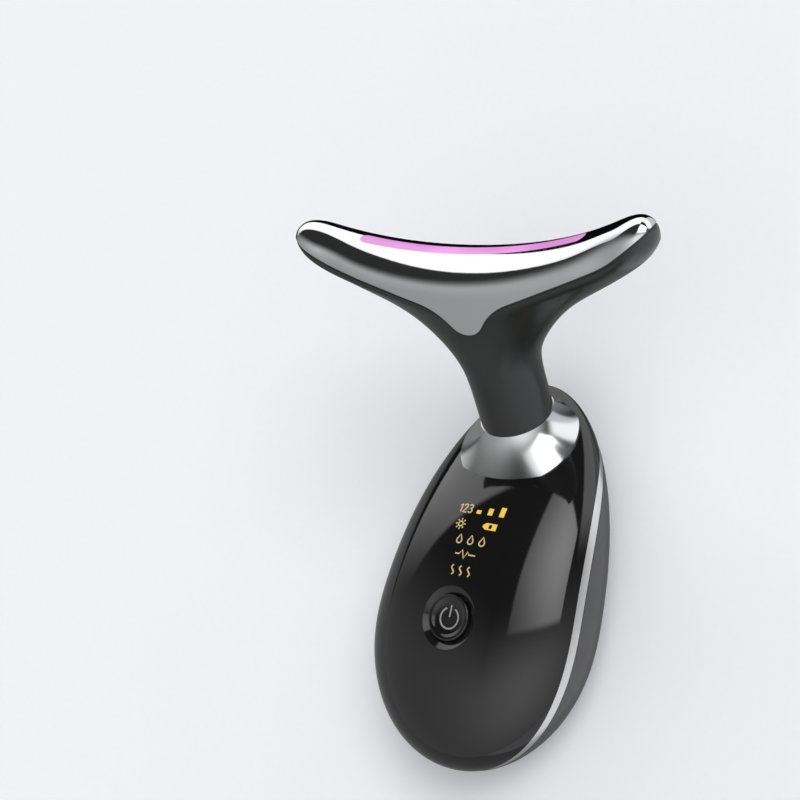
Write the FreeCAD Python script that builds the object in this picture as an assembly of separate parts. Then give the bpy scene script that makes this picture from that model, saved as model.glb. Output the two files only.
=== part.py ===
import FreeCAD, Part
import math
import os

V = FreeCAD.Vector
os.makedirs("parts", exist_ok=True)

# Handle: an egg drawn upright, tail at the bottom and display towards -Y
handle_length = 82.4
handle_width = 50.4
widest_height = 29.0
front_bulge = 14.2
fullest_height = 33.0
front_taper_share = 0.8
rear_bulge = 13.2
rest_cut = 2.6
shell_wall = 1.8
egg_angles = (-87.0, -80.0, -70.0, -57.0, -42.0, -25.0, -8.0, 8.0, 25.0, 42.0, 57.0, 70.0, 80.0, 87.0)

# Seam: an arc in the side view that carries the trim ring
seam_radius = 101.0
seam_forward = 4.9
seam_height = 35.0
trim_width = 1.5
trim_recess = 0.12
seam_gap = 0.05
tongue_wall = 1.2
tongue_reach = 2.0

# Neck and collar
neck_lean = 53.0
neck_front = 7.6
neck_height = 73.4
neck_radius = 7.8
neck_foot_radius = 7.3
bore_radius = 5.6
spigot_radius = 6.8
seat_drop = 2.0
spigot_drop = 10.6
collar_lean = 59.5
collar_tip = 7.5
collar_rim_radius = 8.0
collar_base_radius = 13.2
collar_drop = 5.2
collar_shift = 2.5
collar_sink = 1.8
collar_flare_start = 0.5
collar_shares = (0.0, 0.25, 0.5, 0.75, 1.0)
nut_radius = 7.6
nut_seat = 8.0
nut_thickness = 2.2

# Head: a saddle across the neck, heights measured along the neck
head_height = 37.5
saddle_radius = 100.0
wing_reach = 41.7
tip_start = 33.0
tip_height = 41.5
tip_rise = 2.0
crest_back = 1.5
crest_sweep = 3.0
plate_front_depth = 9.7
plate_rear_depth = 6.4
tip_front_depth = 5.8
tip_rear_depth = 5.0
crown_height = 5.0
plate_wall = 1.0
plate_low = -3.0
tip_angles = (25.0, 50.0, 70.0, 83.0)
plate_shares = (0.0, 0.3, 0.6, 0.82, 1.0)
flare_top = 45.5
wing_depth = 18.0
flare_low_shares = (
    0.0, 0.054, 0.107, 0.161, 0.215, 0.268, 0.327, 0.389, 0.456, 0.519,
    0.582, 0.644, 0.698, 0.756, 0.814, 0.863, 0.895, 0.95, 1.0,
)
flare_reach_shares = (
    0.0, 0.0, 0.0, 0.0, 0.001, 0.007, 0.025, 0.068, 0.14, 0.225,
    0.332, 0.475, 0.625, 0.775, 0.895, 0.955, 0.975, 0.993, 1.0,
)
flare_depth_shares = (
    0.0, 0.0, 0.0, 0.0, 0.0, 0.0, 0.0, 0.0, 0.0, 0.01,
    0.035, 0.08, 0.15, 0.27, 0.46, 0.66, 0.8, 0.93, 1.0,
)

# Skirt line between the plate and the neck piece
apex_height = 21.2
apex_round = 4.2
root_reach = 6.6
root_height = 29.2
root_round = 14.0
turn_reach = 32.0
turn_height = 37.8
turn_round = 20.0
line_end_reach = 46.0
line_end_height = 47.0
gasket_thickness = 0.4
lip_gap = 0.6
lip_wall = 1.2
lip_rise = 2.4
lip_reach = 29.0

# Lit window and the inside of the head
window_reach = 26.25
window_half_width = 1.4
window_forward = 0.45
window_flange_reach = 27.4
window_flange_half = 2.2
window_flange_thick = 1.2
trough_reach = 19.0
trough_front = 4.5
trough_rear = 3.85
trough_floor = 28.4
head_board_reach = 18.0
head_board_front = 4.0
head_board_rear = 3.7
head_board_thick = 1.0
head_chip_count = 8
head_chip_pitch = 4.2
head_chip_side = 2.0
head_chip_tall = 0.7
film_reach = 15.0
film_behind = 3.9
film_width = 4.0
film_thick = 0.3
sensor_across = 8.0
sensor_behind = 3.1
sensor_length = 2.0
sensor_width = 1.1
sensor_tall = 0.9
sensor_drop = 3.6
pin_across = 16.8
pin_behind = 3.3
pin_radius = 0.4

# Vibration motor in the neck
motor_radius = 3.0
motor_length = 11.0
motor_start = 5.0
shaft_radius = 0.5
shaft_gap = 0.05
shaft_sunk = 2.0
shaft_rise = 6.0
weight_radius = 2.7
weight_length = 4.4
weight_lift = 0.8
weight_hub = 1.1
boot_gap = 0.1
boot_notch_width = 3.8
boot_notch_depth = 1.5

# Power button and press switch
button_height = 28.0
button_radius = 4.6
button_gap = 0.25
button_sink = 0.2
button_dish = 0.6
button_dish_radius = 4.25
dish_reach_shares = (0.0, 0.6, 0.8, 0.92, 1.0)
dish_depth_shares = (1.0, 0.97, 0.6, 0.15, 0.0)
button_edge = 0.25
button_travel = 0.4
recess_radius = 6.9
recess_depth = 1.02
recess_spare = 0.2
face_lean = 3.8
button_flange_radius = 6.2
button_flange_top = 11.45
button_flange_thick = 0.8
stem_radius = 2.0
switch_side = 6.0
switch_tall = 2.0
switch_room = 0.3
plunger_radius = 1.6
plunger_gap = 0.1
plunger_sunk = 0.6
plunger_rise = 0.9

# Display board, light block and light chips
display_front = 5.2
board_thick = 1.2
display_low = 19.5
display_high = 58.0
display_half = 12.5
board_round = 2.0
row_low = 37.5
row_pitch = 3.4
row_count = 5
column_pitch = 4.2
column_count = 3
chip_side = 1.6
chip_tall = 0.7
cell_width = 3.2
cell_height = 2.4
block_half = 7.2
block_margin = 2.4
block_lift = 0.9
block_gap = 0.15

# Screws and their posts
post_radius = 2.3
pilot_radius = 0.75
pilot_depth = 2.8
shank_radius = 0.7
shank_length = 3.4
screw_head_radius = 1.4
screw_head_tall = 0.9
screw_slot_radius = 0.6
screw_slot_depth = 0.5
screw_hole_radius = 0.9
front_post_across = 10.0
front_post_low = 21.8
front_post_high = 55.6
rear_post_across = 12.6
rear_post_low = 18.0
rear_post_high = 54.0

# Main board with the charging socket
main_front = -2.2
main_low = 13.0
main_high = 58.0
main_half = 14.4
tail_half = 6.0
tail_low = 5.6
port_width = 8.94
port_tall = 3.16
port_wall = 0.3
port_mouth = 3.8
port_length = 7.3
port_back = 0.7
port_gap = 0.25
port_tongue_width = 6.7
port_tongue_thick = 0.7
port_tongue_length = 5.0
bay_half = 7.4
bay_height = 11.0
chip_wide = 7.0
chip_small = 4.0
chip_height = 1.1
chip_centre_height = 30.0
chip_small_height = 20.0
header_width = 10.2
header_depth = 2.5
header_height = 46.0

# Battery, plugs and wires
battery_width = 20.0
battery_length = 30.0
battery_thick = 3.6
battery_low = 18.0
battery_front = -4.6
battery_round = 1.6
plug_width = 5.0
plug_height = 5.0
plug_tall = 3.6
lead_radius = 0.5
lead_pitch = 2.0
lead_reach = 3.0
battery_plug_across = 7.4
wire_radius = 0.45
wire_pitch = 1.15
wire_count = 3
wire_behind = 4.75
wire_bend = 4.0
wire_exit = 11.5
wire_plug_half = 3.0

fit_gap = 0.1
touch_gap = 0.03
overrun = 6.0

rest_depth = rear_bulge - rest_cut
half_width = handle_width / 2
upper_length = handle_length - widest_height
rest_share = math.sqrt(1 - (rest_depth / rear_bulge) ** 2)
rest_middle = widest_height + rest_share * (upper_length - widest_height) / 2
along_x = V(1, 0, 0)
along_y = V(0, 1, 0)
along_z = V(0, 0, 1)
full_turn = 360
origin = V(0, 0, 0)


# Placing and small helpers
def lay_down(shape):
    flat = shape.copy()
    flat.rotate(origin, along_x, -90)
    flat.translate(V(0, -rest_middle, rest_depth))
    return flat


def on_neck(shape):
    tilted = shape.copy()
    tilted.rotate(origin, along_x, neck_lean)
    tilted.translate(V(0, -neck_front, neck_height))
    return tilted


def on_collar(shape):
    tilted = shape.copy()
    tilted.rotate(origin, along_x, collar_lean)
    tilted.translate(V(0, -neck_front, neck_height))
    return tilted


def join(shapes):
    whole = shapes[0]
    for shape in shapes[1:]:
        whole = whole.fuse(shape)
    return whole.removeSplitter()


def block(x0, x1, y0, y1, z0, z1):
    return Part.makeBox(x1 - x0, y1 - y0, z1 - z0, V(x0, y0, z0))


def rod(radius, start, end):
    run = end - start
    return Part.makeCylinder(radius, run.Length, start, run)


def stadium(reach, half, z0, z1):
    middle = block(-(reach - half), reach - half, -half, half, z0, z1)
    left = rod(half, V(-(reach - half), 0, z0), V(-(reach - half), 0, z1))
    right = rod(half, V(reach - half, 0, z0), V(reach - half, 0, z1))
    return join([middle, left, right])


def slab(half, z0, z1, y0, y1, radius):
    plate = block(-half, half, y0, y1, z0, z1)
    corners = [edge for edge in plate.Edges if abs(edge.tangentAt(edge.FirstParameter).y) > 1 - 1e-6]
    return plate.makeFillet(radius, corners)


def rounded_path(points, radii):
    edges = []
    last = None
    count = len(points)
    for index in range(count):
        here = points[index]
        back = (points[index - 1] - here)
        ahead = (points[(index + 1) % count] - here)
        back.normalize()
        ahead.normalize()
        if radii[index] == 0:
            enter = leave = here
            arc = None
        else:
            half = math.acos(max(-1.0, min(1.0, back.dot(ahead)))) / 2
            cut = radii[index] / math.tan(half)
            enter = here + back * cut
            leave = here + ahead * cut
            middle = back + ahead
            middle.normalize()
            inner = here + middle * (radii[index] / math.sin(half))
            arc = Part.Arc(enter, inner - middle * radii[index], leave).toShape()
        if last is None:
            first = enter
        else:
            edges.append(Part.makeLine(last, enter))
        if arc:
            edges.append(arc)
        last = leave
    edges.append(Part.makeLine(last, first))
    return Part.Wire(edges)


# Egg forms
def share_from(level, fullest, length):
    return (level - fullest) / (length - fullest if level > fullest else fullest)


def front_depth(height, inset):
    share = share_from(height - inset, fullest_height - inset, handle_length - 2 * inset)
    taper = 1 - front_taper_share * max(0.0, share) ** 2
    return (front_bulge - inset) * math.sqrt(1 - share ** 2) * taper


def egg_section(height, inset):
    share = share_from(height - inset, widest_height - inset, handle_length - 2 * inset)
    round_side = math.sqrt(1 - share ** 2)
    half = (half_width - inset) * round_side
    front = front_depth(height, inset)
    rear = (rear_bulge - inset) * round_side
    centre = V(0, 0, height)
    right = V(half, 0, height)
    left = V(-half, 0, height)
    back_arc = Part.Ellipse(right, V(0, rear, height), centre).toShape(0, math.pi)
    front_arc = Part.Ellipse(left, V(0, -front, height), centre).toShape(0, math.pi)
    return Part.Wire([back_arc, front_arc])


def egg(inset):
    sections = []
    for angle in egg_angles:
        turn = math.radians(angle)
        reach = upper_length if angle > 0 else widest_height
        sections.append(egg_section(widest_height + (reach - inset) * math.sin(turn), inset))
    return Part.makeLoft(sections, True)


def behind(depth):
    return block(-handle_width, handle_width, depth, depth + handle_width, -overrun, handle_length + overrun)


def cavity(inset):
    return egg(inset).cut(behind(rest_depth - inset))


def behind_seam(shift):
    centre = V(-handle_width, seam_radius - seam_forward + shift, seam_height)
    return Part.makeCylinder(seam_radius, 2 * handle_width, centre, along_x)


# Head forms, drawn straight up along the neck
def quarter(centre, crest, side, first, last):
    if (side - centre).Length >= (crest - centre).Length:
        return Part.Ellipse(side, crest, centre).toShape(first, last)
    return Part.Ellipse(crest, centre * 2 - side, centre).toShape(first - math.pi / 2, last - math.pi / 2)


def arch(across, middle, front, rear, top, crown):
    spring = top - crown
    centre = V(across, middle, spring)
    crest = V(across, middle, top)
    back = V(across, middle + rear, spring)
    face = V(across, middle - front, spring)
    back_low = V(across, middle + rear, plate_low)
    face_low = V(across, middle - front, plate_low)
    back_arc = quarter(centre, crest, back, 0, math.pi / 2)
    face_arc = quarter(centre, crest, centre * 2 - face, math.pi / 2, math.pi)
    face_side = Part.makeLine(face, face_low)
    under = Part.makeLine(face_low, back_low)
    back_side = Part.makeLine(back_low, back)
    return Part.Wire([back_arc, face_arc, face_side, under, back_side])


def arch_station(across, inset, keep):
    share = min(1.0, across / tip_start) ** 2
    front = (plate_front_depth - (plate_front_depth - tip_front_depth) * share - inset) * keep
    rear = (plate_rear_depth - (plate_rear_depth - tip_rear_depth) * share - inset) * keep
    middle = crest_back - crest_sweep * (across / wing_reach) ** 2
    lift = tip_rise * (across / wing_reach) ** 4
    top = head_height + across ** 2 / (2 * saddle_radius) + lift - inset
    lowered = tip_height + (top - tip_height) * keep if keep < 1 else top
    return (across, middle, front, rear, lowered, (crown_height - inset / 2) * keep)


def arch_stations(inset):
    stations = []
    for share in plate_shares:
        stations.append(arch_station(share * tip_start, inset, 1))
    for angle in tip_angles:
        turn = math.radians(angle)
        across = tip_start + (wing_reach - inset - tip_start) * math.sin(turn)
        stations.append(arch_station(across, inset, math.cos(turn)))
    mirrored = [(-station[0],) + station[1:] for station in reversed(stations[1:])]
    return mirrored + stations


def saddle(inset):
    return Part.makeLoft([arch(*station) for station in arch_stations(inset)], True)


def above_line(shift):
    high = head_height * 2
    points = [
        V(-line_end_reach, 0, line_end_height),
        V(-turn_reach, 0, turn_height),
        V(-root_reach, 0, root_height),
        V(0, 0, apex_height),
        V(root_reach, 0, root_height),
        V(turn_reach, 0, turn_height),
        V(line_end_reach, 0, line_end_height),
        V(line_end_reach, 0, high),
        V(-line_end_reach, 0, high),
    ]
    radii = [0, turn_round, root_round, apex_round, root_round, turn_round, 0, 0, 0]
    face = Part.Face(rounded_path(points, radii))
    face.translate(V(0, -2 * plate_front_depth, shift))
    return face.extrude(V(0, 4 * plate_front_depth, 0))


def flare():
    wires = []
    steps = zip(flare_low_shares, flare_reach_shares, flare_depth_shares)
    for height_share, reach_share, depth_share in steps:
        reach = neck_radius + (wing_reach - neck_radius) * reach_share
        depth = neck_radius + (wing_depth - neck_radius) * depth_share
        oval = Part.Ellipse(V(0, 0, height_share * (flare_top + seat_drop) - seat_drop), reach, depth)
        wires.append(Part.Wire(oval.toShape()))
    return Part.makeLoft(wires, True).common(saddle(0))


# Neck, collar and nut
def collar_ring(share, sink):
    spread = share * (collar_flare_start + (1 - collar_flare_start) * share)
    radius = collar_rim_radius + (collar_base_radius - collar_rim_radius) * spread
    ring = Part.Wire(Part.Circle(V(0, 0, -sink), along_z, radius).toShape())
    ring.rotate(origin, along_x, collar_tip * share)
    ring.translate(V(0, -collar_shift * spread, -collar_drop * share))
    return ring


def make_collar():
    bell = Part.makeLoft([collar_ring(share, 0) for share in reversed(collar_shares)], True)
    skirt = Part.makeLoft([collar_ring(1, collar_sink), collar_ring(1, 0)], True, True)
    ring = on_collar(join([bell, skirt])).cut(egg(-touch_gap))
    seat = rod(neck_foot_radius + fit_gap, V(0, 0, -seat_drop - touch_gap), V(0, 0, overrun))
    through = rod(spigot_radius + fit_gap, V(0, 0, -2 * spigot_drop), V(0, 0, overrun))
    return ring.cut(on_neck(seat)).cut(on_neck(through))


def make_neck():
    body = flare().cut(above_line(-gasket_thickness - touch_gap))
    lip = saddle(plate_wall + lip_gap).cut(saddle(plate_wall + lip_gap + lip_wall))
    lip = lip.common(above_line(-lip_wall)).cut(above_line(lip_rise))
    lip = lip.common(block(-lip_reach, lip_reach, -neck_radius, neck_radius, 0, 2 * head_height))
    tail = rod(spigot_radius, V(0, 0, -spigot_drop), V(0, 0, 0))
    body = join([body, lip, tail])
    body = body.cut(rod(bore_radius, V(0, 0, -2 * spigot_drop), V(0, 0, trough_floor)))
    trough = block(-trough_reach, trough_reach, -trough_front, trough_rear, trough_floor, 2 * head_height)
    waist = on_collar(rod(collar_base_radius, V(0, 0, -spigot_drop), V(0, 0, touch_gap)))
    waist = waist.cut(on_neck(rod(neck_foot_radius, V(0, 0, -2 * spigot_drop), V(0, 0, spigot_drop))))
    return on_neck(body.cut(trough)).cut(waist)


def make_nut():
    ring = rod(nut_radius, V(0, 0, -nut_seat - nut_thickness), V(0, 0, -nut_seat - touch_gap))
    return on_neck(ring.cut(rod(spigot_radius + touch_gap, V(0, 0, -2 * spigot_drop), origin)))


# Massage plate and what lies under it
def bowed_slot(reach, half):
    bow = wing_reach ** 2 / (2 * crest_sweep)
    hub = V(0, crest_back - window_forward - bow, head_height / 2)
    turn = math.asin((reach - half) / bow)

    def on_bow(radius, angle):
        return hub + V(radius * math.sin(angle), radius * math.cos(angle), 0)

    edges = []
    for side in (-1, 1):
        radius = bow - side * half
        far = on_bow(radius, -side * turn)
        edges.append(Part.Arc(far, on_bow(radius, 0), on_bow(radius, side * turn)).toShape())
        cap = on_bow(bow, side * turn) + (on_bow(half, side * turn + side * math.pi / 2) - hub)
        near = on_bow(radius, side * turn)
        edges.append(Part.Arc(near, cap, on_bow(2 * bow - radius, side * turn)).toShape())
    face = Part.Face(Part.Wire(Part.__sortEdges__(edges)))
    return face.extrude(V(0, 0, 2 * head_height))


def make_plate():
    shell = saddle(0).cut(saddle(plate_wall)).common(above_line(0))
    return on_neck(shell.cut(bowed_slot(window_reach, window_half_width)))


def make_gasket():
    ring = saddle(fit_gap).cut(saddle(plate_wall))
    return on_neck(ring.common(above_line(-gasket_thickness)).cut(above_line(-touch_gap)))


def make_window():
    strip = bowed_slot(window_reach - touch_gap, window_half_width - touch_gap)
    strip = strip.common(saddle(touch_gap)).cut(saddle(plate_wall + window_flange_thick / 2))
    flange = bowed_slot(window_flange_reach, window_flange_half)
    flange = flange.common(saddle(plate_wall + touch_gap)).cut(saddle(plate_wall + window_flange_thick))
    return on_neck(join([strip, flange]))


def make_head_board():
    low = trough_floor
    high = low + head_board_thick
    return on_neck(block(-head_board_reach, head_board_reach, -head_board_front, head_board_rear, low, high))


def make_head_chips():
    chips = []
    low = trough_floor + head_board_thick
    for index in range(head_chip_count):
        across = (index - (head_chip_count - 1) / 2) * head_chip_pitch
        side = head_chip_side / 2
        chips.append(block(across - side, across + side, -side, side, low, low + head_chip_tall))
    return on_neck(Part.makeCompound(chips))


def make_film():
    skin = saddle(plate_wall + fit_gap).cut(saddle(plate_wall + fit_gap + film_thick))
    skin = skin.common(above_line(lip_rise + fit_gap))
    tall = 2 * head_height
    bow = crest_sweep * (film_reach / wing_reach) ** 2
    near = crest_back - window_forward - bow - window_flange_half - fit_gap
    far = film_behind
    front = block(-film_reach, film_reach, near - film_width, near, trough_floor, tall)
    rear = block(-film_reach, film_reach, far, far + film_width / 2, trough_floor, tall)
    return on_neck(Part.makeCompound([skin.common(front), skin.common(rear)]))


def make_sensor():
    top = head_height - sensor_drop
    x0 = sensor_across - sensor_length / 2
    y0 = sensor_behind - sensor_width / 2
    base = trough_floor + head_board_thick
    bead = block(x0, x0 + sensor_length, y0, y0 + sensor_width, top, top + sensor_tall)
    stalk = block(x0 + sensor_length / 4, x0 + sensor_length * 3 / 4, y0 + sensor_width / 4,
                  y0 + sensor_width * 3 / 4, base, top)
    return on_neck(join([bead, stalk]))


def make_pins():
    pins = []
    base = trough_floor + head_board_thick
    for side in (-1, 1):
        foot = V(side * pin_across, pin_behind, base)
        pin = rod(pin_radius, foot, V(foot.x, foot.y, 2 * head_height))
        pins.append(pin.common(saddle(plate_wall + touch_gap)))
    return on_neck(Part.makeCompound(pins))


# Vibration motor
def make_motor():
    top = motor_start + motor_length
    can = rod(motor_radius, V(0, 0, motor_start), V(0, 0, top))
    hole = rod(shaft_radius + shaft_gap, V(0, 0, top - shaft_sunk - fit_gap), V(0, 0, top + overrun))
    return on_neck(can.cut(hole))


def make_boot():
    top = motor_start + motor_length
    sleeve = rod(bore_radius - boot_gap, V(0, 0, motor_start), V(0, 0, top))
    sleeve = sleeve.cut(rod(motor_radius + touch_gap, V(0, 0, motor_start - overrun), V(0, 0, top + overrun)))
    inner = bore_radius - boot_gap - boot_notch_depth
    notch = block(-boot_notch_width / 2, boot_notch_width / 2, inner, 2 * bore_radius,
                  motor_start - overrun, top + overrun)
    return on_neck(sleeve.cut(notch))


def make_shaft():
    top = motor_start + motor_length
    return on_neck(rod(shaft_radius, V(0, 0, top - shaft_sunk), V(0, 0, top + shaft_rise)))


def make_weight():
    low = motor_start + motor_length + weight_lift
    high = low + weight_length
    disc = rod(weight_radius, V(0, 0, low), V(0, 0, high))
    half = disc.common(block(-2 * weight_radius, 2 * weight_radius, 0, 2 * weight_radius, low, high))
    hub = rod(weight_hub, V(0, 0, low), V(0, 0, high))
    return on_neck(join([half, hub]).cut(rod(shaft_radius, V(0, 0, low - overrun), V(0, 0, high + overrun))))


# Shells and trim ring
def front_posts():
    spots = []
    for height in (front_post_low, front_post_high):
        for side in (-1, 1):
            spots.append((side * front_post_across, height))
    return spots


def rear_posts():
    spots = []
    for height in (rear_post_low, rear_post_high):
        for side in (-1, 1):
            spots.append((side * rear_post_across, height))
    return spots


def make_front_shell():
    shell = egg(0).cut(cavity(shell_wall)).cut(behind_seam(-trim_width / 2))
    extras = []
    inside = egg(shell_wall / 2)
    for across, height in front_posts():
        post = rod(post_radius, V(across, -display_front, height), V(across, -2 * front_bulge, height))
        post = post.cut(rod(pilot_radius, V(across, -display_front, height),
                            V(across, -display_front - pilot_depth, height)))
        extras.append(post.common(inside))
    seat = on_neck(rod(nut_radius + fit_gap, V(0, 0, -nut_seat), origin))
    extras.append(seat.common(inside).cut(behind_seam(-trim_width / 2)))
    shell = join([shell] + extras)
    shell = shell.cut(on_neck(rod(spigot_radius + fit_gap, V(0, 0, -2 * spigot_drop), V(0, 0, overrun))))
    foot = V(0, 0, -seat_drop - touch_gap)
    shell = shell.cut(on_neck(rod(neck_foot_radius + fit_gap, foot, V(0, 0, overrun))))
    hole = rod(button_radius + button_gap, V(0, -button_flange_top + overrun, button_height),
               V(0, -2 * front_bulge, button_height))
    narrow = button_radius + button_gap
    slope = (recess_radius - narrow) / recess_depth
    start = narrow - slope * recess_spare
    deep = recess_depth + recess_spare
    cone = Part.makeCone(start, start + slope * (deep + overrun), deep + overrun, V(0, 0, -deep))
    return shell.cut(hole).cut(on_face(cone))


def make_rear_shell():
    outer = egg(0).cut(behind(rest_depth))
    shell = outer.cut(cavity(shell_wall)).common(behind_seam(trim_width / 2))
    tongue_skin = shell_wall + fit_gap
    tongue = egg(tongue_skin).cut(cavity(tongue_skin + tongue_wall))
    tongue = tongue.common(behind_seam(-trim_width / 2 - tongue_reach)).cut(behind_seam(trim_width / 2))
    root = egg(shell_wall / 2).cut(cavity(tongue_skin + tongue_wall))
    root = root.common(behind_seam(trim_width / 2)).cut(behind_seam(trim_width / 2 + tongue_reach))
    bay = block(-bay_half, bay_half, -front_bulge, rear_bulge, -overrun, bay_height)
    rim = join([tongue, root]).cut(bay)
    rim = rim.cut(on_neck(rod(nut_radius + shell_wall, V(0, 0, -2 * spigot_drop), V(0, 0, overrun))))
    posts = []
    inside = egg(shell_wall / 2).cut(behind(rest_depth - shell_wall / 2))
    back = board_thick - main_front
    for across, height in rear_posts():
        post = rod(post_radius, V(across, back, height), V(across, 2 * rear_bulge, height))
        post = post.cut(rod(pilot_radius, V(across, back, height), V(across, back + pilot_depth, height)))
        posts.append(post.common(inside))
    shell = join([shell, rim] + posts)
    return shell.cut(port_prism(port_gap, -overrun, port_mouth + port_length))


def make_trim():
    band = egg(trim_recess).cut(egg(shell_wall))
    return band.common(behind_seam(-trim_width / 2 + seam_gap)).cut(behind_seam(trim_width / 2 - seam_gap))


# Power button and switch
def on_face(shape):
    tilted = shape.copy()
    tilted.rotate(origin, along_x, 90 + face_lean)
    tilted.translate(V(0, -front_depth(button_height, 0), button_height))
    return tilted


def make_button():
    under = V(0, -button_flange_top, button_height)
    cap = rod(button_radius, under, V(0, -2 * front_bulge, button_height))
    reach = 2 * front_bulge
    cap = cap.cut(on_face(block(-reach, reach, -reach, reach, -button_sink, reach)))
    rim = min(cap.Edges, key=lambda edge: edge.BoundBox.Center.y)
    cap = cap.makeFillet(button_edge, [rim])
    bowl = [V(button_dish_radius * reach_share, 0, -button_sink - button_dish * depth_share)
            for reach_share, depth_share in zip(dish_reach_shares, dish_depth_shares)]
    profile = Part.BSplineCurve()
    profile.interpolate(bowl)
    lid = Part.makePolygon([bowl[-1], V(button_dish_radius, 0, reach), V(0, 0, reach), bowl[0]])
    outline = Part.Wire([profile.toShape()] + lid.Edges)
    dish = on_face(Part.Face(outline).revolve(origin, along_z, full_turn))
    flange_back = V(0, -button_flange_top + button_flange_thick, button_height)
    flange = rod(button_flange_radius, flange_back, under)
    stem = rod(stem_radius, V(0, -plunger_top(), button_height), flange_back)
    return join([cap.cut(dish), flange, stem])


def plunger_top():
    return display_front + switch_tall + plunger_rise


def make_plunger():
    low = display_front + switch_tall - plunger_sunk
    return rod(plunger_radius, V(0, -low, button_height), V(0, -plunger_top(), button_height))


def make_switch():
    side = switch_side / 2
    top = -display_front - switch_tall
    floor = top + plunger_sunk + button_travel + switch_room
    body = block(-side, side, top, -display_front, button_height - side, button_height + side)
    return body.cut(rod(plunger_radius + plunger_gap, V(0, floor, button_height),
                        V(0, top - overrun, button_height)))


# Display
def make_display_board():
    back = board_thick - display_front
    board = slab(display_half, display_low, display_high, -display_front, back, board_round)
    for across, height in front_posts():
        board = board.cut(rod(screw_hole_radius, V(across, -display_front - overrun, height),
                              V(across, -display_front + overrun, height)))
    return board


def chip_spots():
    spots = []
    for row in range(row_count):
        for column in range(column_count):
            spots.append(((column - (column_count - 1) / 2) * column_pitch, row_low + row * row_pitch))
    return spots


def make_display_chips():
    side = chip_side / 2
    chips = []
    for across, height in chip_spots():
        chips.append(block(across - side, across + side, -display_front - chip_tall, -display_front,
                           height - side, height + side))
    return Part.makeCompound(chips)


def make_light_block():
    low = row_low - block_margin
    high = row_low + (row_count - 1) * row_pitch + block_margin
    body = block(-block_half, block_half, -2 * front_bulge, -display_front - block_lift, low, high)
    for across, height in chip_spots():
        body = body.cut(block(across - cell_width / 2, across + cell_width / 2, -3 * front_bulge, 0,
                              height - cell_height / 2, height + cell_height / 2))
    return body.common(egg(shell_wall + block_gap))


# Screws
def screw(across, height, seat, run):
    head = rod(screw_head_radius, V(across, seat, height), V(across, seat - run * screw_head_tall, height))
    shank = rod(shank_radius, V(across, seat, height), V(across, seat + run * shank_length, height))
    face = seat - run * screw_head_tall
    slot = rod(screw_slot_radius, V(across, face, height), V(across, face + run * screw_slot_depth, height))
    return join([head, shank]).cut(slot)


def make_display_screws():
    seat = board_thick - display_front
    return Part.makeCompound([screw(across, height, seat, -1) for across, height in front_posts()])


def make_main_screws():
    return Part.makeCompound([screw(across, height, -main_front, 1) for across, height in rear_posts()])


# Main board, charging socket, header
def port_prism(grow, z0, z1):
    centre = board_thick - main_front + port_tall / 2
    half = port_tall / 2 + grow
    reach = port_width / 2 + grow
    prism = stadium(reach, half, z0, z1)
    prism.translate(V(0, centre, 0))
    return prism


def make_port():
    can = port_prism(0, port_mouth, port_mouth + port_length)
    return can.cut(port_prism(-port_wall, port_mouth - overrun, port_mouth + port_length - port_back))


def make_port_tongue():
    centre = board_thick - main_front + port_tall / 2
    back = port_mouth + port_length - port_back
    half = port_tongue_thick / 2
    return block(-port_tongue_width / 2, port_tongue_width / 2, centre - half, centre + half,
                 back - port_tongue_length, back)


def make_main_board():
    front = -main_front
    board = slab(main_half, main_low, main_high, front, front + board_thick, board_round)
    tail = block(-tail_half, tail_half, front, front + board_thick, tail_low, main_low + board_round)
    board = join([board, tail])
    for across, height in rear_posts():
        board = board.cut(rod(screw_hole_radius, V(across, front - overrun, height),
                              V(across, front + overrun, height)))
    return board


def make_chips():
    front = -main_front
    half = chip_wide / 2
    small = chip_small / 2
    low = chip_centre_height - half
    chips = [block(-half, half, front - chip_height, front, low, low + chip_wide)]
    for side in (-1, 1):
        middle = side * (half + small)
        chips.append(block(middle - small, middle + small, front - chip_height, front,
                           chip_small_height - small, chip_small_height + small))
    return Part.makeCompound(chips)


def make_header():
    half = header_width / 2
    high = header_height + header_depth
    return block(-half, half, board_thick - display_front, -main_front, header_height, high)


# Battery, plugs, wires
def make_battery():
    front = -battery_front
    half = battery_width / 2
    return slab(half, battery_low, battery_low + battery_length, front, front + battery_thick, battery_round)


def make_pad():
    front = -battery_front + battery_thick
    half = battery_width / 2 - battery_round
    low = battery_low + battery_round
    high = battery_low + battery_length - battery_round
    return block(-half, half, front, rest_depth - shell_wall, low, high)


def plug_block(middle, half, low):
    back = board_thick - main_front
    return block(middle - half, middle + half, back, back + plug_tall, low, low + plug_height)


def battery_plug_low():
    return battery_low + battery_length + lead_reach


def make_battery_plug():
    return plug_block(-battery_plug_across, plug_width / 2, battery_plug_low())


def make_battery_leads():
    leads = []
    middle = -battery_front + lead_radius * 2
    for side in (-1, 1):
        across = -battery_plug_across + side * lead_pitch / 2
        leads.append(rod(lead_radius, V(across, middle, battery_low + battery_length),
                         V(across, middle, battery_plug_low())))
    return Part.makeCompound(leads)


def wire_level():
    lean = math.radians(neck_lean)
    start_y = -neck_front + wire_behind * math.cos(lean) + wire_exit * math.sin(lean)
    return start_y + wire_bend * (1 - math.cos(lean))


def wire_plug_low():
    return main_high - plug_height


def make_wire_plug():
    return plug_block(0, wire_plug_half, wire_plug_low())


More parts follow.
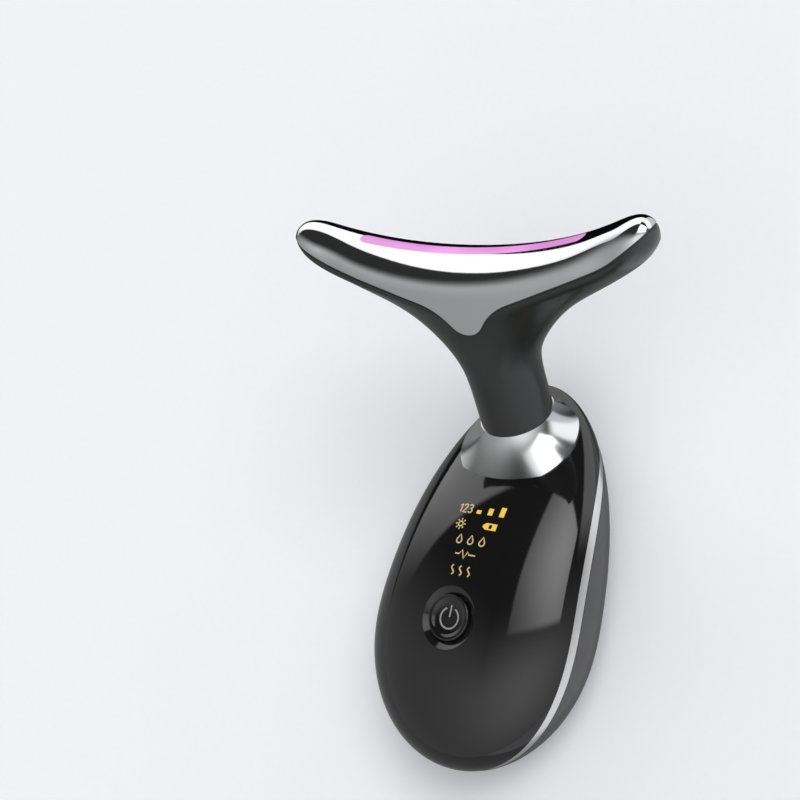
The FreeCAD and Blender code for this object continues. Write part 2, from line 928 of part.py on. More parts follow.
def make_wires():
    lean = math.radians(neck_lean)
    up = V(0, -math.sin(lean), math.cos(lean))
    back = V(0, math.cos(lean), math.sin(lean))
    foot = V(0, -neck_front, neck_height)
    wires = []
    for index in range(wire_count):
        shift = along_x * ((index - (wire_count - 1) / 2) * wire_pitch)
        high = foot + back * wire_behind + up * trough_floor + shift
        low = foot + back * wire_behind - up * wire_exit + shift
        hub = low - back * wire_bend
        middle = hub + (back + along_y) * (wire_bend / (back + along_y).Length)
        turned = hub + along_y * wire_bend
        end = V(turned.x, turned.y, wire_plug_low() + plug_height)
        bend = Part.Arc(low, middle, turned).toShape()
        path = Part.Wire([Part.makeLine(high, low), bend, Part.makeLine(turned, end)])
        ring = Part.Wire(Part.Circle(high, up, wire_radius).toShape())
        wires.append(path.makePipeShell([ring], True, False))
    return Part.makeCompound(wires)


PIECES = {
    "front_shell": make_front_shell,
    "rear_shell": make_rear_shell,
    "trim_ring": make_trim,
    "neck_collar": make_collar,
    "neck_carrier": make_neck,
    "neck_nut": make_nut,
    "massage_plate": make_plate,
    "plate_gasket": make_gasket,
    "light_window": make_window,
    "head_board": make_head_board,
    "head_light_chips": make_head_chips,
    "heater_film": make_film,
    "heat_sensor": make_sensor,
    "contact_pins": make_pins,
    "vibration_motor": make_motor,
    "motor_boot": make_boot,
    "motor_shaft": make_shaft,
    "eccentric_weight": make_weight,
    "power_button": make_button,
    "switch_plunger": make_plunger,
    "press_switch": make_switch,
    "display_board": make_display_board,
    "display_light_chips": make_display_chips,
    "light_block": make_light_block,
    "display_screws": make_display_screws,
    "main_board": make_main_board,
    "board_chips": make_chips,
    "board_header": make_header,
    "main_screws": make_main_screws,
    "charge_socket": make_port,
    "socket_tongue": make_port_tongue,
    "battery_cell": make_battery,
    "battery_pad": make_pad,
    "battery_plug": make_battery_plug,
    "battery_leads": make_battery_leads,
    "wire_plug": make_wire_plug,
    "head_wires": make_wires,
}

for node, make in PIECES.items():
    lay_down(make()).exportStep("parts/" + node + ".step")
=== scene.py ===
import math

import bmesh
import bpy
from mathutils import Matrix, Vector
from mathutils.bvhtree import BVHTree
import numpy as np


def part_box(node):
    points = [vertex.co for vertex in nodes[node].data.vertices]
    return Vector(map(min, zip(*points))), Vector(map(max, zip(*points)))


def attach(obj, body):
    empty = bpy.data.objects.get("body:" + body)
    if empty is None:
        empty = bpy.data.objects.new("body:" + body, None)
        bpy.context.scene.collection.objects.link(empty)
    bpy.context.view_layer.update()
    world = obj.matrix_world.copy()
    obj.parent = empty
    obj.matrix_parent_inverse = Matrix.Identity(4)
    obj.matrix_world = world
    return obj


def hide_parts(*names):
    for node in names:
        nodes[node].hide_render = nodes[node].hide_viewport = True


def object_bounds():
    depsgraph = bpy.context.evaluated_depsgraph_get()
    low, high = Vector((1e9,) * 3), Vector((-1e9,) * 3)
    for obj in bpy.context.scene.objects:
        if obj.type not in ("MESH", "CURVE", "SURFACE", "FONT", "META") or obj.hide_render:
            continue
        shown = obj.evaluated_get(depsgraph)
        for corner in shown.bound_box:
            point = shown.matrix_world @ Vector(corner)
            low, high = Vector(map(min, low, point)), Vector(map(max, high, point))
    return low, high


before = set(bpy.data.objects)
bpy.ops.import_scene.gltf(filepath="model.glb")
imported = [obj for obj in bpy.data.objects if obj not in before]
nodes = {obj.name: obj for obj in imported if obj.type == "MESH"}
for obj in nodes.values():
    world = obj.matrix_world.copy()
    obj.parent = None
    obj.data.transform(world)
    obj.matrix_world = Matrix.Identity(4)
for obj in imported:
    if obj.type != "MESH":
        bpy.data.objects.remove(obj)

cad_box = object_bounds()


# Rear shell: the bowl of the handle, moulded in dark grey ABS from a spark-eroded tool.
# The tool leaves an even, very fine grain, so the plastic is satin and not glossy.
# Boards and battery are fixed into it, and the massager lies on its flat.
MM = 0.001
tone_places = (0.35, 0.65)


def linear(code):
    channels = [int(code[i:i + 2], 16) / 255 for i in (1, 3, 5)]
    curved = [c / 12.92 if c <= 0.04045 else ((c + 0.055) / 1.055) ** 2.4 for c in channels]
    return (*curved, 1.0)


def per(size):
    return 1 / (size * MM)


def add(tree, kind, inputs, tones=(), **settings):
    made = tree.nodes.new("ShaderNode" + kind)
    for name, value in settings.items():
        setattr(made, name, value)
    for index, code in enumerate(tones):
        made.color_ramp.elements[index].position = tone_places[index]
        made.color_ramp.elements[index].color = linear(code)
    for name, value in inputs.items():
        if isinstance(value, bpy.types.NodeSocket):
            tree.links.new(value, made.inputs[name])
        else:
            made.inputs[name].default_value = value
    return made


def new_material(name):
    made = bpy.data.materials.new(name)
    made.use_nodes = True
    made.node_tree.nodes.clear()
    place = add(made.node_tree, "TexCoord", {}).outputs["Object"]
    return made, made.node_tree, place


def dress(material, *names):
    for name in names:
        nodes[name].data.materials.clear()
        nodes[name].data.materials.append(material)


# The real grain is about 0.05 mm; it is drawn several times coarser so that it shows.
# Slow clouds in tone and gloss come from the flow of the plastic in the tool.
def satin_abs(name, dark, light, grain, roughness):
    made, tree, place = new_material(name)
    cloud = add(tree, "TexNoise", {"Vector": place, "Scale": per(9), "Detail": 3.0}).outputs["Fac"]
    tone = add(tree, "ValToRGB", {"Fac": cloud}, tones=(dark, light))
    rough = add(tree, "MapRange", {"Value": cloud, "To Min": roughness - 0.05, "To Max": roughness + 0.05})
    spark = add(tree, "TexNoise", {"Vector": place, "Scale": per(grain), "Detail": 2.0})
    bump = add(tree, "Bump", {"Height": spark.outputs["Fac"], "Strength": 0.12, "Distance": 0.02 * MM})
    shader = add(tree, "BsdfPrincipled", {"Base Color": tone.outputs["Color"], "Roughness": rough.outputs[0],
                                          "Normal": bump.outputs[0], "IOR": 1.53})
    add(tree, "OutputMaterial", {"Surface": shader.outputs[0]})
    return made


dress(satin_abs("graphite_spark_eroded_abs", "#464648", "#4c4c4e", 0.3, 0.38), "rear_shell")


# Charging socket: a drawn steel can soldered to the main board, open at the tail.
# Bright tin plating over faint draw marks; the tongue inside is black liquid-crystal polymer.
def plated_steel(name, dark, light, low, high):
    made, tree, place = new_material(name)
    marks = add(tree, "Mapping", {"Vector": place, "Scale": (per(0.3), per(6), per(0.3))}).outputs[0]
    lines = add(tree, "TexNoise", {"Vector": marks, "Scale": 1.0, "Detail": 2.0}).outputs["Fac"]
    tone = add(tree, "ValToRGB", {"Fac": lines}, tones=(dark, light))
    rough = add(tree, "MapRange", {"Value": lines, "To Min": low, "To Max": high})
    shader = add(tree, "BsdfPrincipled", {"Base Color": tone.outputs["Color"], "Metallic": 1.0,
                                          "Roughness": rough.outputs[0]})
    add(tree, "OutputMaterial", {"Surface": shader.outputs[0]})
    return made


tinned_steel = plated_steel("tin_plated_steel", "#a3a4a5", "#c3c4c6", 0.2, 0.34)
dress(tinned_steel, "charge_socket")
black_polymer = satin_abs("black_liquid_crystal_polymer", "#151516", "#1c1c1d", 0.25, 0.45)
dress(black_polymer, "socket_tongue")


# Battery: a flat lithium cell in crinkled aluminium laminate, which breaks its glints into patches.
# It is stuck down on a strip of matte foam with small open cells.
# Two silicone leads end in a white nylon plug on the main board.
laminate, tree, place = new_material("aluminium_laminate")
dents = add(tree, "TexVoronoi", {"Vector": place, "Scale": per(2.2)}, feature="SMOOTH_F1")
crinkle = dents.outputs["Distance"]
tone = add(tree, "ValToRGB", {"Fac": crinkle}, tones=("#a9adb2", "#c6c9cc"))
bump = add(tree, "Bump", {"Height": crinkle, "Strength": 0.25, "Distance": 0.08 * MM})
shader = add(tree, "BsdfPrincipled", {"Base Color": tone.outputs["Color"], "Metallic": 1.0, "Roughness": 0.32,
                                      "Normal": bump.outputs[0]})
add(tree, "OutputMaterial", {"Surface": shader.outputs[0]})
dress(laminate, "battery_cell")

foam, tree, place = new_material("grey_eva_foam")
cells_and_hollow_shade = add(tree, "TexVoronoi", {"Vector": place, "Scale": per(0.5)}).outputs["Distance"]
# The foam is drawn darker in the hollows of its cells, where the bump dips: painted shade.
tone = add(tree, "ValToRGB", {"Fac": cells_and_hollow_shade}, tones=("#2a2b2c", "#454647"))
bump = add(tree, "Bump", {"Height": cells_and_hollow_shade, "Strength": 0.6, "Distance": 0.15 * MM})
shader = add(tree, "BsdfPrincipled", {"Base Color": tone.outputs["Color"], "Roughness": 0.9,
                                      "Normal": bump.outputs[0]})
add(tree, "OutputMaterial", {"Surface": shader.outputs[0]})
dress(foam, "battery_pad")

dress(satin_abs("white_nylon", "#d6d5cf", "#e2e1db", 0.35, 0.42), "battery_plug", "wire_plug")
dress(satin_abs("red_silicone_wire", "#8a1414", "#a01b1a", 0.4, 0.5), "battery_leads", "head_wires")


# Main board: glass-fibre laminate under green solder mask, with copper tracks showing through.
# Its chips and pin header are black epoxy, and small zinc-plated screws hold it to the rear shell.
board_green, tree, place = new_material("green_solder_mask")
tracks = add(tree, "TexBrick", {"Vector": place, "Scale": per(6), "Mortar Size": 0.03}).outputs["Fac"]
tone = add(tree, "ValToRGB", {"Fac": tracks}, tones=("#14502c", "#2f7d4a"))
bump = add(tree, "Bump", {"Height": tracks, "Strength": 0.3, "Distance": 0.05 * MM})
shader = add(tree, "BsdfPrincipled", {"Base Color": tone.outputs["Color"], "Roughness": 0.3,
                                      "Normal": bump.outputs[0]})
add(tree, "OutputMaterial", {"Surface": shader.outputs[0]})
dress(board_green, "main_board", "display_board", "head_board")
dress(satin_abs("black_epoxy", "#1a1a1b", "#222223", 0.2, 0.5), "board_chips", "board_header", "heat_sensor")
screw_steel = plated_steel("zinc_plated_steel", "#8f9194", "#b2b4b6", 0.28, 0.4)
dress(screw_steel, "main_screws", "display_screws")


# Display: light chips stand on a board behind the front shell, each in a cell of a white block.
# The block keeps the light of one mark away from the next; the press switch sits on the same board.
# The chips are drops of clear resin with yellow phosphor grains in it.
chip_resin, tree, place = new_material("phosphor_resin")
dots = add(tree, "TexNoise", {"Vector": place, "Scale": per(0.6), "Detail": 2.0}).outputs["Fac"]
tone = add(tree, "ValToRGB", {"Fac": dots}, tones=("#d9c25a", "#efe0a0"))
shader = add(tree, "BsdfPrincipled", {"Base Color": tone.outputs["Color"], "Roughness": 0.35})
add(tree, "OutputMaterial", {"Surface": shader.outputs[0]})
dress(chip_resin, "display_light_chips", "head_light_chips")
dress(satin_abs("white_polycarbonate", "#dcdcd8", "#e8e8e4", 0.4, 0.4), "light_block", "press_switch")


# Front shell: the dome over the display, moulded in smoked ABS and polished like a piano lid.
# It looks black and mirrors the studio; polishing leaves a faint waviness and a few hazy patches.
scene = bpy.context.scene
piano_black, tree, place = new_material("piano_black_abs")
haze = add(tree, "TexNoise", {"Vector": place, "Scale": per(14), "Detail": 5.0, "Roughness": 0.6})
rough = add(tree, "MapRange", {"Value": haze.outputs["Fac"], "From Min": 0.35, "From Max": 0.75,
                               "To Min": 0.045, "To Max": 0.08})
peel = add(tree, "TexNoise", {"Vector": place, "Scale": per(2.5), "Detail": 1.0})
bump = add(tree, "Bump", {"Height": peel.outputs["Fac"], "Strength": 0.02, "Distance": 0.02 * MM})
shader = add(tree, "BsdfPrincipled", {"Base Color": linear("#141415"), "Roughness": rough.outputs[0],
                                      "Normal": bump.outputs[0], "IOR": 1.53})
add(tree, "OutputMaterial", {"Surface": shader.outputs[0]})

# A mirror finish shows every facet, so the polished pieces are copies of their solids with truer normals.
# Each corner takes the normal of a small bowl fitted through the points around it, within one smooth face.
weld_gap = 0.0005 * MM
sharp_bend = math.radians(20)
smallest_face = 30
fewest_points = 7
nearest_mm = 0.1


def smooth_faces(mesh):
    waiting = set(mesh.faces)
    while waiting:
        found = [waiting.pop()]
        for face in found:
            for edge in face.edges:
                if len(edge.link_faces) == 2 and edge.calc_face_angle() < sharp_bend:
                    for other in edge.link_faces:
                        if other in waiting:
                            waiting.remove(other)
                            found.append(other)
        yield set(found)


def bowl_normal(vert, faces):
    own = [face for face in vert.link_faces if face in faces]
    axis = sum((face.normal * face.calc_area() for face in own), Vector()).normalized()
    ring = {point for face in own for point in face.verts}
    near = {point for middle in ring for face in middle.link_faces if face in faces for point in face.verts}
    near.discard(vert)
    if len(near) < fewest_points:
        return axis
    across = axis.orthogonal().normalized()
    along = axis.cross(across)
    ordered = sorted(near, key=lambda point: point.index)
    offsets = np.array([point.co - vert.co for point in ordered]) / MM
    weight = 1 / (np.linalg.norm(offsets, axis=1) + nearest_mm)
    a, b, c = (offsets @ np.array(line) for line in (across, along, axis))
    terms = np.stack((a * a, a * b, b * b, a, b), axis=1) * weight[:, None]
    bowl = np.linalg.lstsq(terms, c * weight, rcond=None)[0]
    return (axis - across * bowl[3] - along * bowl[4]).normalized()


def new_piece(name, mesh, material):
    data = bpy.data.meshes.new(name)
    mesh.to_mesh(data)
    mesh.free()
    data.materials.append(material)
    piece = bpy.data.objects.new(name, data)
    scene.collection.objects.link(piece)
    return piece


def polish(node, material, body):
    source = nodes[node].data
    mesh = bmesh.new()
    mesh.from_mesh(source)
    origin = mesh.faces.layers.int.new("origin")
    for face in mesh.faces:
        face[origin] = face.index
    bmesh.ops.remove_doubles(mesh, verts=mesh.verts, dist=weld_gap)
    mesh.verts.index_update()
    fitted_corners = {}
    for faces in smooth_faces(mesh):
        if len(faces) < smallest_face:
            continue
        fitted = {vert: bowl_normal(vert, faces) for vert in {vert for face in faces for vert in face.verts}}
        for face in faces:
            fitted_corners[face] = [fitted[vert] for vert in face.verts]
    normals = []
    for face in mesh.faces:
        first = source.polygons[face[origin]].loop_start
        normals += fitted_corners.get(face) or [
            source.corner_normals[first + step].vector.copy() for step in range(len(face.verts))]
    piece = new_piece("polished_" + node, mesh, material)
    piece.data.polygons.foreach_set("use_smooth", [True] * len(piece.data.polygons))
    piece.data.normals_split_custom_set(normals)
    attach(piece, body)
    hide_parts(node)


polish("front_shell", piano_black, "body")


# Display marks: amber light shining through the smoked shell where its inner paint is left open.
# Level bars and a battery stand on the right, plain numbers and signs with thin strokes on the left.
# The light spills a little unevenly through the paint, so the marks aren't all equally bright.
mark_stroke = 0.3 * MM
mark_lift = 0.02 * MM
row_heights = [14.6 * MM, 11.2 * MM, 7.8 * MM, 4.7 * MM, 1.3 * MM]


def skin_of(node):
    mesh = bmesh.new()
    mesh.from_mesh(nodes[node].data)
    skin = BVHTree.FromBMesh(mesh)
    mesh.free()
    return skin


def stroke(mesh, points, width, closed=False):
    count = len(points)
    pairs = []
    for index, point in enumerate(points):
        before = points[index - 1] if index or closed else point
        after = points[(index + 1) % count] if index + 1 < count or closed else point
        run = (after - before).normalized()
        side = Vector((-run.y, run.x, 0)) * width / 2
        pairs.append((mesh.verts.new(point + side), mesh.verts.new(point - side)))
    rungs = [mesh.edges.new(pair) for pair in pairs]
    if closed:
        rungs.append(rungs[0])
    for one, two in zip(rungs, rungs[1:]):
        bmesh.ops.bridge_loops(mesh, edges=[one, two])


def arc_points(centre, radius, first, last, count):
    angles = [math.radians(first + (last - first) * step / count) for step in range(count + 1)]
    return [centre + Vector((radius * math.cos(angle), radius * math.sin(angle), 0)) for angle in angles]


def tile(mesh, columns, rows, low, high):
    made = bmesh.ops.create_grid(mesh, x_segments=columns, y_segments=rows, size=0.5)["verts"]
    bmesh.ops.scale(mesh, vec=high - low + Vector((0, 0, 1)), verts=made)
    bmesh.ops.translate(mesh, vec=(low + high) / 2, verts=made)
    return made


def sign(name, mesh, skin, material, body):
    bmesh.ops.subdivide_edges(mesh, edges=mesh.edges, cuts=1, use_grid_fill=True)
    bmesh.ops.recalc_face_normals(mesh, faces=mesh.faces)
    above = cad_box[1].z + mark_lift
    for vert in mesh.verts:
        spot = skin.ray_cast(Vector((vert.co.x, vert.co.y, above)), Vector((0, 0, -1)))[0]
        vert.co.z = spot.z + mark_lift
    piece = new_piece(name, mesh, material)
    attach(piece, body)


def lit_amber(name, colour, strength):
    made, tree, place = new_material(name)
    spill = add(tree, "TexNoise", {"Vector": place, "Scale": per(1.2), "Detail": 1.0}).outputs["Fac"]
    power = add(tree, "MapRange", {"Value": spill, "To Min": strength * 0.85, "To Max": strength * 1.1})
    shader = add(tree, "BsdfPrincipled", {"Base Color": linear("#3a2c10"), "Roughness": 0.2,
                                          "Emission Color": linear(colour),
                                          "Emission Strength": power.outputs[0]})
    add(tree, "OutputMaterial", {"Surface": shader.outputs[0]})
    return made


front_skin = skin_of("front_shell")
bright_amber = lit_amber("bright_amber_light", "#f3c84f", 1.0)
pale_amber = lit_amber("pale_amber_light", "#d8c38a", 0.85)

bar_heights = (0.8 * MM, 1.5 * MM, 2.1 * MM)
bar_width = 1.1 * MM
bar_pitch = 2.65 * MM
bar_left = -0.7 * MM
bar_foot = row_heights[0] - 1.0 * MM
bars = bmesh.new()
for step, tall in enumerate(bar_heights):
    foot = Vector((bar_left + step * bar_pitch, bar_foot, 0))
    tile(bars, 2, 3, foot, foot + Vector((bar_width, tall, 0)))
sign("level_bars", bars, front_skin, bright_amber, "body")

battery_half = Vector((1.55 * MM, 0.73 * MM, 0))
battery_middle = Vector((3.5 * MM, row_heights[1], 0))
nose_length = 0.69 * MM
nose_share = 0.3
dark_spot = Vector((3.67 * MM, row_heights[1], 0))
dark_reach = 0.387 * MM
battery = bmesh.new()
battery_left = battery_middle.x - battery_half.x
for vert in tile(battery, 9, 5, battery_middle - battery_half, battery_middle + battery_half):
    narrow = min(1, nose_share + (1 - nose_share) * (vert.co.x - battery_left) / nose_length)
    vert.co.y = battery_middle.y + (vert.co.y - battery_middle.y) * narrow
unlit = [face for face in battery.faces if (face.calc_center_median() - dark_spot).length < dark_reach]
bmesh.ops.delete(battery, geom=unlit, context="FACES")
sign("battery_sign", battery, front_skin, bright_amber, "body")

# The numbers 1, 2 and 3, in millimetres around each one's middle.
numbers_mm = (((-0.35, 0.5), (0.1, 0.9), (0.1, -0.9)),
              ((-0.45, 0.45), (-0.33, 0.77), (0, 0.9), (0.33, 0.77), (0.43, 0.42), (0.25, 0.05),
               (-0.45, -0.9), (0.5, -0.9)),
              ((-0.45, 0.7), (-0.1, 0.9), (0.28, 0.8), (0.42, 0.47), (0.25, 0.13), (-0.05, 0.02),
               (0.3, -0.12), (0.46, -0.47), (0.3, -0.8), (-0.1, -0.9), (-0.48, -0.68)))
number_places = (-4.8 * MM, -3.7 * MM, -2.4 * MM)
number_height = row_heights[0] - 0.1 * MM
marks = bmesh.new()
for left, number in zip(number_places, numbers_mm):
    stroke(marks, [Vector((left + x * MM, number_height + y * MM, 0)) for x, y in number], mark_stroke)

sun = Vector((-3.4 * MM, row_heights[1] - 0.2 * MM, 0))
sun_radius = 0.55 * MM
ray_start = 0.85 * MM
ray_end = 1.25 * MM
stroke(marks, arc_points(sun, sun_radius, 0, 330, 11), mark_stroke, closed=True)
for inner, outer in zip(arc_points(sun, ray_start, 0, 315, 7), arc_points(sun, ray_end, 0, 315, 7)):
    stroke(marks, [inner, outer], mark_stroke)

drop_places = (-2.3 * MM, 0.4 * MM, 3.1 * MM)
drop_height = row_heights[2] - 0.3 * MM
drop_radius = 0.6 * MM
drop_tip = Vector((0, 1.3 * MM, 0))
for left in drop_places:
    middle = Vector((left, drop_height, 0))
    belly = arc_points(middle, drop_radius, 150, 390, 12)
    stroke(marks, [middle + drop_tip] + belly, mark_stroke, closed=True)

pulse_mm = ((-2.2, 0), (-1.2, 0), (-0.7, 0.9), (0.1, -0.9), (0.7, 0.6), (1.1, 0), (2.6, 0))
stroke(marks, [Vector((x * MM, row_heights[3] + y * MM, 0)) for x, y in pulse_mm], mark_stroke)

wave_places = (-1.6 * MM, 0.3 * MM, 2.2 * MM)
wave_sway = 0.35 * MM
wave_half = 1.0 * MM
for left in wave_places:
    shares = [step / 5 for step in range(11)]
    stroke(marks, [Vector((left + wave_sway * math.sin(share * math.pi),
                           row_heights[4] + (share - 1) * wave_half, 0)) for share in shares], mark_stroke)
sign("mode_signs", marks, front_skin, pale_amber, "body")


# Trim ring: a thin band clipped between the two shells, ABS with satin nickel plating.
# Fine blasting under the plating scatters the light, so the ring shows as one even pale line.
satin_nickel, tree, place = new_material("satin_nickel_plate")
fine = add(tree, "TexNoise", {"Vector": place, "Scale": per(0.4), "Detail": 2.0})
rough = add(tree, "MapRange", {"Value": fine.outputs["Fac"], "To Min": 0.24, "To Max": 0.36})
shader = add(tree, "BsdfPrincipled", {"Base Color": linear("#dcdcdb"), "Metallic": 1.0,
                                      "Roughness": rough.outputs[0]})
add(tree, "OutputMaterial", {"Surface": shader.outputs[0]})
dress(satin_nickel, "trim_ring")


# Power button: a dished black cap in a round recess, on a small plunger that works the press switch.
# The power sign on it is printed in silver ink, whose flakes give it a faint sparkle.
polish("power_button", piano_black, "button")
dress(black_polymer, "switch_plunger")
silver_ink, tree, place = new_material("silver_ink")
flake = add(tree, "TexNoise", {"Vector": place, "Scale": per(0.15), "Detail": 1.0}).outputs["Fac"]
tone = add(tree, "ValToRGB", {"Fac": flake}, tones=("#9a9b9b", "#b6b7b7"))
shader = add(tree, "BsdfPrincipled", {"Base Color": tone.outputs["Color"], "Metallic": 0.4, "Roughness": 0.4})
add(tree, "OutputMaterial", {"Surface": shader.outputs[0]})

button_low, button_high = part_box("power_button")
hub = Vector(((button_low.x + button_high.x) / 2, (button_low.y + button_high.y) / 2, 0))
sign_radius = 2.1 * MM
sign_stroke = 0.36 * MM
stem_foot = 0.2 * MM
stem_step = 0.3 * MM
power = bmesh.new()
stroke(power, arc_points(hub, sign_radius, 118, 422, 40), sign_stroke)
stroke(power, [hub + Vector((0, stem_foot + stem_step * step, 0)) for step in range(9)], sign_stroke)
sign("power_sign", power, skin_of("power_button"), silver_ink, "button")


# Neck carrier: one moulding from the spigot in the handle to the wings under the plate.
# Dark satin polycarbonate; a steel nut holds it, and the head wires run down its bore.
carrier_plastic = satin_abs("dark_satin_polycarbonate", "#1d1e1e", "#222323", 0.35, 0.24)
polish("neck_carrier", carrier_plastic, "body")
dress(screw_steel, "neck_nut")


# Vibration motor: a plated steel can in a silicone boot, turning an off-centre weight.
# The weight is sintered tungsten, dull and slightly porous.
dress(tinned_steel, "vibration_motor", "motor_shaft")
dress(satin_abs("black_silicone", "#1c1c1d", "#242425", 0.4, 0.6), "motor_boot", "plate_gasket")
tungsten, tree, place = new_material("sintered_tungsten")
pores_and_pore_shade = add(tree, "TexNoise", {"Vector": place, "Scale": per(0.25), "Detail": 3.0}).outputs["Fac"]
# The weight is drawn darker in its pores, where the bump dips: painted shade.
tone = add(tree, "ValToRGB", {"Fac": pores_and_pore_shade}, tones=("#6d6e70", "#8b8c8e"))
bump = add(tree, "Bump", {"Height": pores_and_pore_shade, "Strength": 0.3, "Distance": 0.03 * MM})
shader = add(tree, "BsdfPrincipled", {"Base Color": tone.outputs["Color"], "Metallic": 1.0, "Roughness": 0.5,
                                      "Normal": bump.outputs[0]})
add(tree, "OutputMaterial", {"Surface": shader.outputs[0]})
dress(tungsten, "eccentric_weight")


# Neck collar: a flared ring that hides the joint of neck and handle, moulded in ABS and chrome-plated.
# Thin plating on plastic is a little hazy, so the studio shows in it with soft edges.
def chrome(name, colour, low, high):
    made, tree, place = new_material(name)
    haze = add(tree, "TexNoise", {"Vector": place, "Scale": per(11), "Detail": 4.0})
    rough = add(tree, "MapRange", {"Value": haze.outputs["Fac"], "From Min": 0.3, "From Max": 0.7,
                                   "To Min": low, "To Max": high})
    shader = add(tree, "BsdfPrincipled", {"Base Color": linear(colour), "Metallic": 1.0,
                                          "Roughness": rough.outputs[0]})
    add(tree, "OutputMaterial", {"Surface": shader.outputs[0]})
    return made


polish("neck_collar", chrome("collar_chrome_plate", "#c2c3c4", 0.14, 0.2), "body")


# Under the plate: a heater film of amber polyimide with an etched track, stuck to the plate's inner face.
# Two gold-plated brass pins carry the current from the head board to the plate.
polyimide, tree, place = new_material("amber_polyimide")
track = add(tree, "TexWave", {"Vector": place, "Scale": per(6), "Distortion": 2.0}).outputs["Fac"]
tone = add(tree, "ValToRGB", {"Fac": track}, tones=("#8a4a12", "#b06a22"))
shader = add(tree, "BsdfPrincipled", {"Base Color": tone.outputs["Color"], "Roughness": 0.35})
add(tree, "OutputMaterial", {"Surface": shader.outputs[0]})
dress(polyimide, "heater_film")
dress(plated_steel("gold_plated_brass", "#c79a3c", "#e0bb63", 0.15, 0.25), "contact_pins")


# Massage plate: a thin saddle of aluminium, polished and plated in mirror chrome; it glides over the skin.
# Its pointed skirt hangs down the front and back of the neck.
polish("massage_plate", chrome("mirror_chrome_plate", "#c8c9ca", 0.05, 0.08), "body")


# Lit window: a bowed strip of milky acrylic in the plate, with the head lights behind it.
# The milky filler spreads their light, which is only a little stronger over each chip.
milky_acrylic, tree, place = new_material("lit_milky_acrylic")
glow = add(tree, "TexNoise", {"Vector": place, "Scale": per(9), "Detail": 0.0}).outputs["Fac"]
tone = add(tree, "ValToRGB", {"Fac": glow}, tones=("#64365f", "#6f3e6e"))
light = add(tree, "ValToRGB", {"Fac": glow}, tones=("#ed9be7", "#f1a4ea"))
strength = add(tree, "MapRange", {"Value": glow, "From Min": 0.3, "From Max": 0.7,
                                  "To Min": 0.68, "To Max": 0.8})
shader = add(tree, "BsdfPrincipled", {"Base Color": tone.outputs["Color"], "Roughness": 0.3,
                                      "Emission Color": light.outputs["Color"],
                                      "Emission Strength": strength.outputs[0]})
add(tree, "OutputMaterial", {"Surface": shader.outputs[0]})
dress(milky_acrylic, "light_window")


# Floor: a wide round sheet of pale matte paper under the massager, which keeps its soft shadow.
# Its fibres give it the faintest mottling.
paper_radius = 8.0
paper, tree, place = new_material("pale_paper")
fibres = add(tree, "TexNoise", {"Vector": place, "Scale": per(1.5), "Detail": 2.0}).outputs["Fac"]
tone = add(tree, "ValToRGB", {"Fac": fibres}, tones=("#f6f7fb", "#f7f8fc"))
shader = add(tree, "BsdfPrincipled", {"Base Color": tone.outputs["Color"], "Roughness": 0.9,
                                      "Specular IOR Level": 0.0})
add(tree, "OutputMaterial", {"Surface": shader.outputs[0]})
sheet = bmesh.new()
bmesh.ops.create_circle(sheet, cap_ends=True, segments=96, radius=paper_radius)
new_piece("floor", sheet, paper)


# Flag: a matte card on the paper, left of the massager and behind it, seen only in the reflections.
# Its black end paints a dark reflection into the chrome's rear edge,
# and its grey end paints a grey reflection that keeps the black shell's rim quiet.
reflection_card_low = Vector((-8, -8, 0))
reflection_card_high = Vector((0.03, 8, 0))
reflection_card_height = 0.3 * MM
reflection_shade_start = 0.02
reflection_shade_end = 0.12
reflection_card, tree, place = new_material("reflection_only_dark_card")
# The card turns from grey to black towards the back: this grey and black are painted reflection.
along = add(tree, "SeparateXYZ", {"Vector": place}).outputs["Y"]
painted_reflection_shade = add(tree, "MapRange", {"Value": along, "From Min": reflection_shade_start, "From Max": reflection_shade_end}).outputs[0]
tone = add(tree, "ValToRGB", {"Fac": painted_reflection_shade}, tones=("#a3a3a4", "#0d0d0e"))
shader = add(tree, "BsdfPrincipled", {"Base Color": tone.outputs["Color"], "Roughness": 1.0,
                                      "Specular IOR Level": 0.0})
add(tree, "OutputMaterial", {"Surface": shader.outputs[0]})
reflection_card_mesh = bmesh.new()
tile(reflection_card_mesh, 1, 1, reflection_card_low, reflection_card_high)
bmesh.ops.translate(reflection_card_mesh, vec=(0, 0, reflection_card_height), verts=reflection_card_mesh.verts)
flag = new_piece("flag", reflection_card_mesh, reflection_card)
# It is hidden from the camera, from bounced light and from shadows, so it shows only as painted reflection.
flag.visible_camera = False
flag.visible_diffuse = False
flag.visible_shadow = False


# Light: a white studio far around the massager, drawn in the world by direction.
# A softbox with a hot middle hangs over the right shoulder, tall white walls stand behind the head,
# a broad reflector glows in front, and the ceiling between them stays dark.
dark_ceiling = 0.04
bow_middle = 0.1
crisp = 0.015
soft = 0.03
even = 0
reflector_edge = ((0, 1, 0), 0.45, 0.1, -0.6)
# A panel is its strength, the way to its hot middle, how fast it falls off from there, and its edges.
# An edge is a plane through the massager, how far it bows to the sides, and where it is dark and where lit.
panels = (
    (4.1, (0.55, 0.47, 0.69), 7.4, (((1, 0, -0.11), 0, -crisp, crisp), ((-1, 0, 1.38), 0, -crisp, crisp),
                                    ((-0.238, 1, 0.087), 0, -soft, soft), ((0, -1, 1.1), 0, -crisp, crisp))),
    (1.7, (-1, 0, 0), even, (((-0.286, 1, -1.206), 0, -soft, soft), ((0, 1, 0), 0, 0.08, 0.55),
                             ((1, 0, 0), 0, 0.04, -0.04))),
    (1.6, (1, 0, 0), even, (((0, 0, 1), 0, 0.46, 0.42), ((0, 1, 0), 0, 0.4, 0.65),
                            ((1, 0, 0), 0, -0.04, 0.04))),
    (0.9, (0.47, -0.44, 0.76), 3.4, (reflector_edge,)),
    (0.4, (0, -1, 0), even, (reflector_edge,)),
)
studio = bpy.data.worlds.new("studio")
studio.use_nodes = True
scene.world = studio
tree = studio.node_tree
tree.nodes.clear()
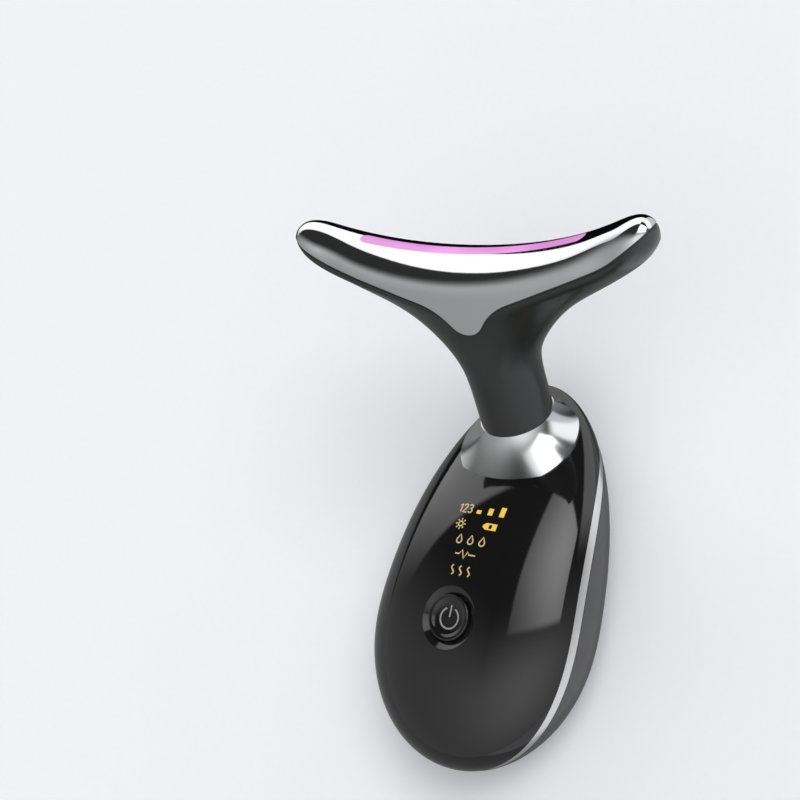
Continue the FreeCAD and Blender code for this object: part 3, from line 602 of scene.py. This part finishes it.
way = add(tree, "TexCoord", {}).outputs["Generated"]
across = add(tree, "SeparateXYZ", {"Vector": way}).outputs["X"]
shifted = add(tree, "Math", {0: across, 1: bow_middle}, operation="ADD").outputs[0]
sideways = add(tree, "Math", {0: shifted}, operation="ABSOLUTE").outputs[0]
level = dark_ceiling
for strength, middle, falloff, edges in panels:
    aim = Vector(middle).normalized() * falloff
    near = add(tree, "VectorMath", {0: way, 1: aim}, operation="DOT_PRODUCT").outputs["Value"]
    exponent = add(tree, "Math", {0: near, 1: falloff}, operation="SUBTRACT").outputs[0]
    glow = add(tree, "Math", {0: math.e, 1: exponent}, operation="POWER").outputs[0]
    panel = add(tree, "Math", {0: glow, 1: strength}, operation="MULTIPLY").outputs[0]
    for plane, bow, dark, lit in edges:
        height = add(tree, "VectorMath", {0: way, 1: plane}, operation="DOT_PRODUCT").outputs["Value"]
        bowed = add(tree, "Math", {0: sideways, 1: -bow, 2: height}, operation="MULTIPLY_ADD").outputs[0]
        share = add(tree, "MapRange", {"Value": bowed, "From Min": dark, "From Max": lit},
                    interpolation_type="SMOOTHSTEP").outputs[0]
        panel = add(tree, "Math", {0: panel, 1: share}, operation="MULTIPLY").outputs[0]
    level = add(tree, "Math", {0: level, 1: panel}, operation="ADD").outputs[0]
sky = add(tree, "Background", {"Strength": level, "Color": (1, 1, 1, 1)})
add(tree, "OutputWorld", {"Surface": sky.outputs[0]})
scene.view_settings.view_transform = "Standard"


# Camera: stands above the display, to its right, and is turned so that the head of the massager leans left.
# Its place and lens were fitted to the massager's outline in the photograph.
right = Vector((0.7962, 0.2577, -0.5475))
up = Vector((-0.0693, 0.9376, 0.3407))
stand = Vector((0.14395, -0.03033, 0.2406))
lens = bpy.data.cameras.new("photo_view")
lens.lens = 58.46
lens.sensor_width = 36
camera = bpy.data.objects.new("photo_view", lens)
turn = Matrix((right, up, right.cross(up))).transposed().to_4x4()
camera.matrix_world = Matrix.Translation(stand) @ turn
scene.collection.objects.link(camera)
scene.camera = camera
